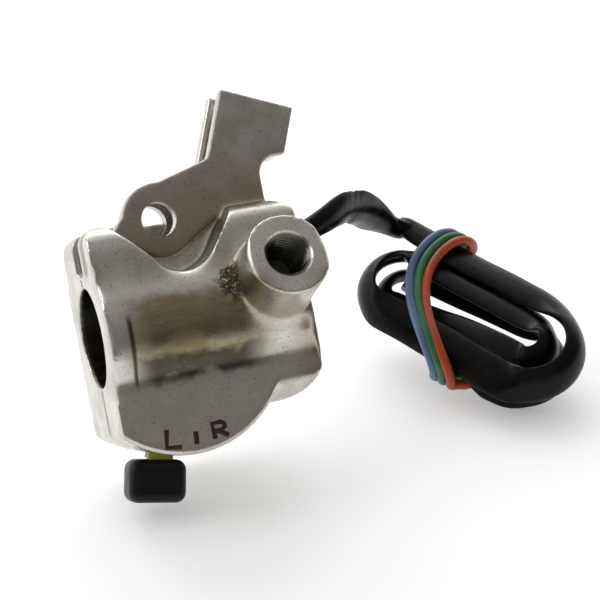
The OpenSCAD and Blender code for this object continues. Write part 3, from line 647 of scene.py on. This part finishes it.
def sleeveRing(s, place, tangent, wide, run):
    thin = tangent.cross(wide)
    flat = smoothStep(s["flatFrom"], s["flatTo"], run) * smoothStep(0, s["endRound"], wholeLong - run)
    flat *= 1 - s["turnRound"] * math.exp(-((run - leadLong + s["turnIn"]) / s["turnLong"]) ** 2)
    plain = cordSet["sleeve"]
    halfWide = plain / 2 + (s["wide"] - plain) / 2 * flat
    halfThick = plain / 2 - (plain - s["thick"]) / 2 * flat
    pinch = math.exp(-((run - s["crease"]) / s["creaseLong"]) ** 2)
    along, across, lag = s["rippleWave"]
    sagAlong, sagAcross = s["sagScale"]
    ring = []
    for k in range(s["sides"]):
        a = 2 * math.pi * k / s["sides"]
        ripple = s["ripple"] * pinch * math.sin(along * run + across * math.sin(a)) * math.cos(a - lag)
        spot = Vector((run * sagAlong, math.cos(a) * sagAcross, math.sin(a) * sagAcross))
        sag = s["sag"] * flat * noise.noise(spot)
        radius = 1 - s["creaseDepth"] * pinch * (1 + math.cos(2 * a)) / 2 + (ripple + sag) / halfWide
        lens = 1 - s["lens"] * flat * math.cos(a) ** 2  # the folded edges are sharper than an ellipse
        ring.append(place + radius * (halfWide * math.cos(a) * wide + halfThick * lens * math.sin(a) * thin))
    return ring


def makeSleeve(name, s):
    points, sides = sleeveLine, s["sides"]
    last = len(points) - 1
    tangents = [(points[min(i + 1, last)] - points[max(i - 1, 0)]).normalized() for i in range(last + 1)]
    runs = [0]
    for a, b in zip(points, points[1:]):
        runs.append(runs[-1] + (b - a).length)
    wides = sleeveWides(s, tangents, runs)
    rings = [sleeveRing(s, *ring) for ring in zip(points, tangents, wides, runs)]
    verts = [tuple(v * mm) for ring in rings for v in ring]
    faces = []
    for i in range(last):
        for k in range(sides):
            a, b = i * sides + k, i * sides + (k + 1) % sides
            faces.append((a, a + sides, b + sides, b))
    faces.append(tuple(range(sides)))
    faces.append(tuple(reversed(range(last * sides, (last + 1) * sides))))
    obj = meshObject(name, verts, faces)
    makeActive(obj)
    bpy.ops.object.mode_set(mode="EDIT")
    bpy.ops.mesh.select_all(action="SELECT")
    bpy.ops.mesh.normals_make_consistent(inside=False)
    bpy.ops.object.mode_set(mode="OBJECT")
    bpy.ops.object.shade_smooth_by_angle(angle=math.radians(s["smoothAngle"]))
    return obj


sleeve = makeSleeve("cord_sleeve", sleeveSet)
setMaterial(sleeve, finishes["sleeveBlack"])
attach(sleeve, "housing")
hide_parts("cord_lead", "cord_hank")

# wire tails: three wires out of the sleeve's end, wrapped round the hank as its tie
tailSet = {
    "wraps": 0.72, "rings": 28, "pitch": 2.45, "shown": 2.4, "bow": (-9, -5.5, 6.5), "mid": 1.8,
    "straight": 3, "spread": 1.15, "startBend": 0.6, "clear": 0.5, "inset": 2.6, "splineSteps": 5,
    "turns": {-1: [(3.6, -12.2, -3.9), (1, -15.2, -3.9)],
              0: [(3.6, -12.6, -1.6), (1.2, -15.2, -2.6)],
              1: [(2.9, -13.6, -3.6), (1, -15.6, -3.2)]},
    "colors": {-1: "blue", 0: "green", 1: "orange"},
}
tieRadius = (cordSet["layer"] + cordSet["sleeve"] + cordSet["wire"]) / 2 + tailSet["clear"]
tieHalf = cordSet["halfWidth"] - tailSet["inset"]
tieLap = 4 * tieHalf + 2 * math.pi * tieRadius
tieFlat = 2 * tieHalf / tieLap
tieBend = math.pi * tieRadius / tieLap


def tieTrack(f):
    if f < tieFlat:
        return tieHalf - 2 * tieHalf * f / tieFlat, tieRadius
    if f < tieFlat + tieBend:
        a = math.pi * (f - tieFlat) / tieBend
        return -tieHalf - tieRadius * math.sin(a), tieRadius * math.cos(a)
    if f < 2 * tieFlat + tieBend:
        return -tieHalf + 2 * tieHalf * (f - tieFlat - tieBend) / tieFlat, -tieRadius
    a = math.pi * (f - 2 * tieFlat - tieBend) / tieBend
    return tieHalf + tieRadius * math.sin(a), -tieRadius * math.cos(a)


def tiePlace(k, wraps):
    # the wrap is bowed: its middle lies further back along the hank than its sides
    t = tieFlat + tailSet["startBend"] * tieBend - wraps
    x, y = tieTrack(t - math.floor(t))
    side = x / cordSet["halfWidth"]
    middle, skew, bow = tailSet["bow"]
    shift = middle + skew * side + bow * side * side
    along = cordSet["tieAt"] + tailSet["pitch"] * (k + 1.5 - 3 * wraps) + shift
    return Vector((along, tailSet["mid"] + x, y))


def tailLine(k):
    a = math.radians(120 * k + 90)
    out = hankEnd + tailSet["spread"] * (math.cos(a) * endDir.cross(hank.n) + math.sin(a) * hank.n)
    knots = [out + tailSet["straight"] * endDir]
    knots += [hank.place((p[0] + tiePlace(k, 0).x, p[1], p[2])) for p in tailSet["turns"][k]]
    rings = tailSet["rings"]
    knots += [hank.place(tiePlace(k, i / rings)) for i in range(math.ceil(tailSet["wraps"] * rings) + 1)]
    return [out] + splineThrough(knots, tailSet["splineSteps"])


def makeWire(name, points, diameter):
    curve = bpy.data.curves.new(name, "CURVE")
    curve.dimensions = "3D"
    spline = curve.splines.new("POLY")
    spline.points.add(len(points) - 1)
    for point, place in zip(spline.points, points):
        point.co = (*(place * mm), 1)
    curve.bevel_depth = diameter / 2 * mm
    curve.bevel_resolution = 5
    curve.use_fill_caps = True
    obj = bpy.data.objects.new(name, curve)
    bpy.context.scene.collection.objects.link(obj)
    return obj


for k, colorName in tailSet["colors"].items():
    line = tailLine(k)
    wire = makeWire("tail_wire_" + colorName, line, tailSet["shown"])
    setMaterial(wire, finishes["wire" + colorName.capitalize()])
    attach(wire, "housing")
    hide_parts("tail_" + colorName)
print("wire tails made")


# castings: the CAD shape with its holes plugged, remeshed and eased, then the holes cut again
def leanedAt(x, z):
    return leanMatrix @ Matrix.Translation((x * mm, 0, z * mm))


bossTilt = math.radians(castSet["bossTilt"])
bossAxis = Vector((0, -math.cos(bossTilt), math.sin(bossTilt)))
bossMatrix = leanedAt(castSet["bossAlong"], 0) @ Matrix.Rotation(math.radians(90) - bossTilt, 4, "X")
pivotMatrix = leanedAt(*castSet["pivot"]) @ Matrix.Rotation(math.radians(90), 4, "X")
adjusterMatrix = (
    leanedAt(*castSet["blockCorner"]) @ Matrix.Rotation(math.radians(castSet["blockTurn"]), 4, "Y")
    @ Matrix.Translation((castSet["blockWide"] * mm, 0, -castSet["adjusterDrop"] * mm))
    @ Matrix.Rotation(math.radians(90), 4, "Y"))


def makeRod(radius, low, high, matrix):
    deselectAll()
    bpy.ops.mesh.primitive_cylinder_add(
        vertices=castSet["rodSides"], radius=radius * mm, depth=(high - low) * mm,
        location=(0, 0, (high + low) / 2 * mm))
    rod = bpy.context.object
    bpy.ops.object.transform_apply(location=True, rotation=True, scale=True)
    applyPlace(rod, matrix)
    return rod


def makeThread(s, minor, root, low, high, mouth, matrix):
    # the space inside a tapped hole: a helical ridge from the minor radius to the root, opening at the mouth
    sides, pitch = s["threadSides"], s["pitch"]
    count = int((high - low) / pitch * s["threadSteps"])
    verts, faces = [], []
    for i in range(count + 1):
        z = low + (high - low) * i / count
        for k in range(sides):
            phase = (z / pitch - k / sides) % 1
            ridge = max(0, 1 - abs(phase - 0.5) / s["threadCrest"])
            r = max(minor + (root - minor) * ridge, minor + max(0, z - mouth))
            a = 2 * math.pi * k / sides
            verts.append((r * math.cos(a) * mm, r * math.sin(a) * mm, z * mm))
    for i in range(count):
        for k in range(sides):
            n = (k + 1) % sides
            faces.append((i * sides + k, i * sides + n, (i + 1) * sides + n, (i + 1) * sides + k))
    faces.append(tuple(reversed(range(sides))))
    faces.append(tuple(range(count * sides, (count + 1) * sides)))
    thread = meshObject("threadCutter", verts, faces)
    applyPlace(thread, matrix)
    return thread


# where the easing is strongest, in millimetres: round the boss's foot and along the barrel's creases
blendSet = {
    "perchUp": 17, "perchFront": -7.5,
    "bossOut": (15.5, 11), "bossIn": (8.3, 9), "bossTop": (25.5, 21), "bossFoot": (10, 14),
    "creaseAt": 10.5, "creaseWide": (5, 1.5), "creaseFront": (-10.5, -12.5),
}


def blendWeight(s, p):
    # 1 where the casting flows from one form into another, 0 on the perch
    x, y, z = p.x / mm, p.y / mm, p.z / mm
    if z > s["perchUp"] and y > s["perchFront"]:
        return 0
    toBoss = Vector((x - castSet["bossAlong"], y, z))
    high = toBoss.dot(bossAxis)
    off = (toBoss - bossAxis * high).length
    boss = smoothStep(*s["bossOut"], off) * smoothStep(*s["bossIn"], off)
    boss *= smoothStep(*s["bossTop"], high) * smoothStep(*s["bossFoot"], high)
    crease = smoothStep(*s["creaseWide"], abs(abs(z) - s["creaseAt"])) * smoothStep(*s["creaseFront"], y)
    return max(boss, crease)


def addSmooth(obj, s, name, iterations):
    smooth = obj.modifiers.new(name, "SMOOTH")
    smooth.factor = s["easeFactor"]
    smooth.iterations = iterations
    return smooth


def easeCasting(obj, s, weighted):
    # worked upright, so the flat faces lie along the remesh's cells
    applyPlace(obj, uprightMatrix)
    remesh = obj.modifiers.new("remesh", "REMESH")
    remesh.mode = "VOXEL"
    remesh.voxel_size = s["voxel"]
    applyAll(obj)
    addSmooth(obj, s, "easeAll", s["easeAll"])
    if weighted:
        group = obj.vertex_groups.new(name="blend")
        for v in obj.data.vertices:
            w = blendWeight(blendSet, v.co)
            if w > 0:
                group.add([v.index], w, "REPLACE")
        addSmooth(obj, s, "easeBlend", s["easeBlend"]).vertex_group = "blend"
    applyAll(obj)
    applyPlace(obj, leanMatrix)


def cutAway(obj, cutters):
    for cutter in cutters:
        boolean = obj.modifiers.new("cut", "BOOLEAN")
        boolean.operation = "DIFFERENCE"
        boolean.solver = "EXACT"
        boolean.object = cutter
    applyAll(obj)
    for cutter in cutters:
        bpy.data.objects.remove(cutter)


def finishCasting(obj, s, material, node):
    makeActive(obj)
    bpy.ops.object.shade_smooth_by_angle(angle=math.radians(s["smoothAngle"]))
    setMaterial(obj, material)
    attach(obj, "housing")
    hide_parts(node)


def makeFront(s):
    front = cadCopy("front_housing", "front_casting")
    top, foot = s["bossReach"], s["bossReach"] - s["threadDepth"]
    pivotPlug = s["pivotRadius"] + s["plugOver"]
    joinInto(front, [
        makeRod(pivotPlug, s["slotHalf"], s["pivotPlugHalf"], pivotMatrix),
        makeRod(pivotPlug, -s["pivotPlugHalf"], -s["slotHalf"], pivotMatrix),
        makeRod(s["threadRadius"] + s["plugOver"], foot, top, bossMatrix),
        makeRod(s["threadRadius"] + s["mouthOver"], top - s["mouthDepth"], top, bossMatrix),
        makeRod(s["adjusterRadius"] + s["plugOver"], -s["adjusterPlug"], 0, adjusterMatrix)])
    easeCasting(front, s, True)
    cutAway(front, [
        makeRod(s["pivotRadius"], -s["pivotCutHalf"], s["pivotCutHalf"], pivotMatrix),
        makeThread(s, s["threadRadius"], s["threadRoot"], foot, top + s["cutOver"],
                   top - s["threadMouth"], bossMatrix),
        makeThread(s, s["adjusterRadius"], s["adjusterRoot"], -s["adjusterDepth"], s["cutOver"],
                   -s["adjusterMouth"], adjusterMatrix)])
    finishCasting(front, s, alloyFront, "front_housing")
    return front


def makeRear(s):
    rear = cadCopy("rear_housing", "rear_casting")
    easeCasting(rear, s, False)
    finishCasting(rear, s, alloyRear, "rear_housing")
    return rear


front = makeFront(castSet)
rear = makeRear(castSet)
print("castings made:", len(front.data.polygons), "and", len(rear.data.polygons), "faces")

# marks: painted strokes for left, off and right, laid on the drum's face, each with its place and turn
markSet = {
    "face": -14, "stroke": 0.6, "sink": 0.06, "flat": 0.35, "smoothAngle": 60,
    "marks": {"L": (-17.1, -26.0, 9, [[(0, 3.9), (0, 0), (3.3, 0)]]),
              "I": (-10.4, -26.6, 4, [[(0, 2.8), (0, 0)]]),
              "R": (-6.15, -26.3, -3, [[(0, 0), (0, 3.4), (1.9, 3.3), (2.7, 2.8), (2.7, 2.1),
                                        (1.9, 1.6), (0, 1.55)],
                                       [(1.1, 1.6), (3.1, 0)]])},
}


def makeMark(name, s, along, up, turn, strokes):
    parts = []
    for stroke in strokes:
        part = makeWire(name, [Vector((x, 0, z)) for x, z in stroke], 2 * s["stroke"])
        makeActive(part)
        bpy.ops.object.convert(target="MESH")
        part = bpy.context.object
        for v in part.data.vertices:
            v.co.y *= s["flat"]
        parts.append(part)
    mark = parts[0]
    joinInto(mark, parts[1:])
    mark.name = name
    place = leanMatrix @ Matrix.Translation((along * mm, (s["face"] + s["sink"]) * mm, up * mm))
    applyPlace(mark, place @ Matrix.Rotation(math.radians(turn), 4, "Y"))
    setMaterial(mark, finishes["markPaint"])
    bpy.ops.object.shade_smooth_by_angle(angle=math.radians(s["smoothAngle"]))
    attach(mark, "housing")


for letter, (along, up, turn, strokes) in markSet["marks"].items():
    makeMark("mark_" + letter, markSet, along, up, turn, strokes)
print("marks painted")

# knob: a block rounded all over, on the arm's end
knobSet = {"wide": 13, "tall": 9.6, "deep": 9, "round": 2.3, "roundSteps": 6, "top": 15.6,
           "pivotAlong": -10.9, "pivotUp": -14.5, "throw": 20, "turn": 8}
armMatrix = leanedAt(knobSet["pivotAlong"], knobSet["pivotUp"]) @ Matrix.Rotation(
    math.radians(knobSet["throw"]), 4, "Y")


def makeKnob(s):
    deselectAll()
    bpy.ops.mesh.primitive_cube_add(size=1, location=(0, 0, 0),
                                    scale=(s["wide"] * mm, s["deep"] * mm, s["tall"] * mm))
    knob = bpy.context.object
    knob.name = "indicator_knob"
    bpy.ops.object.transform_apply(location=True, rotation=True, scale=True)
    bpy.ops.object.mode_set(mode="EDIT")
    bpy.ops.mesh.select_all(action="SELECT")
    bpy.ops.mesh.bevel(offset=s["round"] * mm, segments=s["roundSteps"], profile=0.5, affect="EDGES")
    bpy.ops.mesh.select_all(action="SELECT")
    bpy.ops.mesh.subdivide(number_cuts=1)
    bpy.ops.object.mode_set(mode="OBJECT")
    middle = Matrix.Translation((0, 0, -(s["top"] + s["tall"] / 2) * mm))
    applyPlace(knob, armMatrix @ middle @ Matrix.Rotation(math.radians(-s["turn"]), 4, "Y"))
    setMaterial(knob, finishes["knobBlack"])
    bpy.ops.object.shade_smooth()
    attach(knob, "lever")
    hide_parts("switch_knob")


makeKnob(knobSet)
print("knob made")

# the CAD nodes that stay in sight or inside, with their own finishes
nodeFinishes = {
    "clamp_screws": "screwSteel", "clamp_washers": "screwSteel", "pivot_pin": "screwSteel",
    "plate_screws": "screwSteel", "wiper_spring": "springSteel", "pivot_clip": "springSteel",
    "detent_spring": "springSteel", "switch_arm": "armNylon", "contact_plate": "plateBoard",
    "cord_grommet": "grommetRubber",
    "wiper_contact": "contactBrass", "fixed_contacts": "contactBrass", "solder_tags": "contactBrass",
    "lead_blue": "wireBlue", "lead_orange": "wireOrange", "lead_green": "wireGreen",
}
for nodeName, finish in nodeFinishes.items():
    setMaterial(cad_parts[nodeName], finishes[finish])
print("CAD nodes finished:", len(nodeFinishes))

# stage: a wide pale floor, a white dome behind with a dull camera side, two soft lamps
stageSet = {
    "floor": min(cadBox[0].z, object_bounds()[0].z), "half": 3.0, "floorGrey": 0.95, "floorRough": 0.7,
    "floorShine": 0.2, "floorGlow": 0.3,
    "dome": 1.0, "dusk": (0.10, 0.095, 0.08), "dull": (0.27, 0.26, 0.245), "overhead": (0.39, 0.38, 0.37),
    "behind": (1, 1, 1), "dullUp": (0.15, 0.5), "overheadUp": (0.5, 0.9), "behindFrom": (-0.1, 0.45),
    "lampAim": (0.02, 0, 0),
    "lamps": {"backSoftbox": ((0.1, 0.75, 0.6), (0.9, 0.6), 3.5),
              "leftSoftbox": ((-0.8, 0.2, 0.5), (0.5, 0.6), 2)},
}


def makeFloor(s):
    deselectAll()
    bpy.ops.mesh.primitive_plane_add(size=2 * s["half"], location=(0, 0, s["floor"]))
    floor = bpy.context.object
    floor.name = "floor"
    bpy.ops.object.transform_apply(location=True, rotation=True, scale=True)
    material, _, _, shader = newMaterial("floorWhite")
    shader.inputs["Base Color"].default_value = (s["floorGrey"], s["floorGrey"], s["floorGrey"], 1)
    shader.inputs["Roughness"].default_value = s["floorRough"]
    shader.inputs["Specular IOR Level"].default_value = s["floorShine"]
    shader.inputs["Emission Color"].default_value = (1, 1, 1, 1)
    shader.inputs["Emission Strength"].default_value = s["floorGlow"]
    setMaterial(floor, material)


def makeDome(s):
    world = bpy.data.worlds.new("dome")
    bpy.context.scene.world = world
    world.use_nodes = True
    nodes, links = world.node_tree.nodes, world.node_tree.links
    _, y, z = splitPlace(nodes, links, addNode(nodes, "ShaderNodeTexCoord").outputs["Generated"])
    color = mixColor(nodes, links, rangeNode(nodes, links, z, *s["dullUp"]), s["dusk"], s["dull"])
    color = mixColor(nodes, links, rangeNode(nodes, links, z, *s["overheadUp"]), color, s["overhead"])
    color = mixColor(nodes, links, rangeNode(nodes, links, y, *s["behindFrom"]), color, s["behind"])
    background = nodes["Background"]
    links.new(color, background.inputs["Color"])
    background.inputs["Strength"].default_value = s["dome"]


def makeLamp(name, place, aim, size, power):
    deselectAll()
    bpy.ops.object.light_add(type="AREA", location=place)
    lamp = bpy.context.object
    lamp.name = name
    lamp.data.energy = power
    lamp.data.shape = "RECTANGLE"
    lamp.data.size, lamp.data.size_y = size
    lamp.rotation_mode = "QUATERNION"
    lamp.rotation_quaternion = (Vector(aim) - Vector(place)).to_track_quat("-Z", "Y")


makeFloor(stageSet)
makeDome(stageSet)
for lampName, (place, size, power) in stageSet["lamps"].items():
    makeLamp(lampName, place, stageSet["lampAim"], size, power)
bpy.context.scene.view_settings.view_transform = "Standard"
print("stage lit")
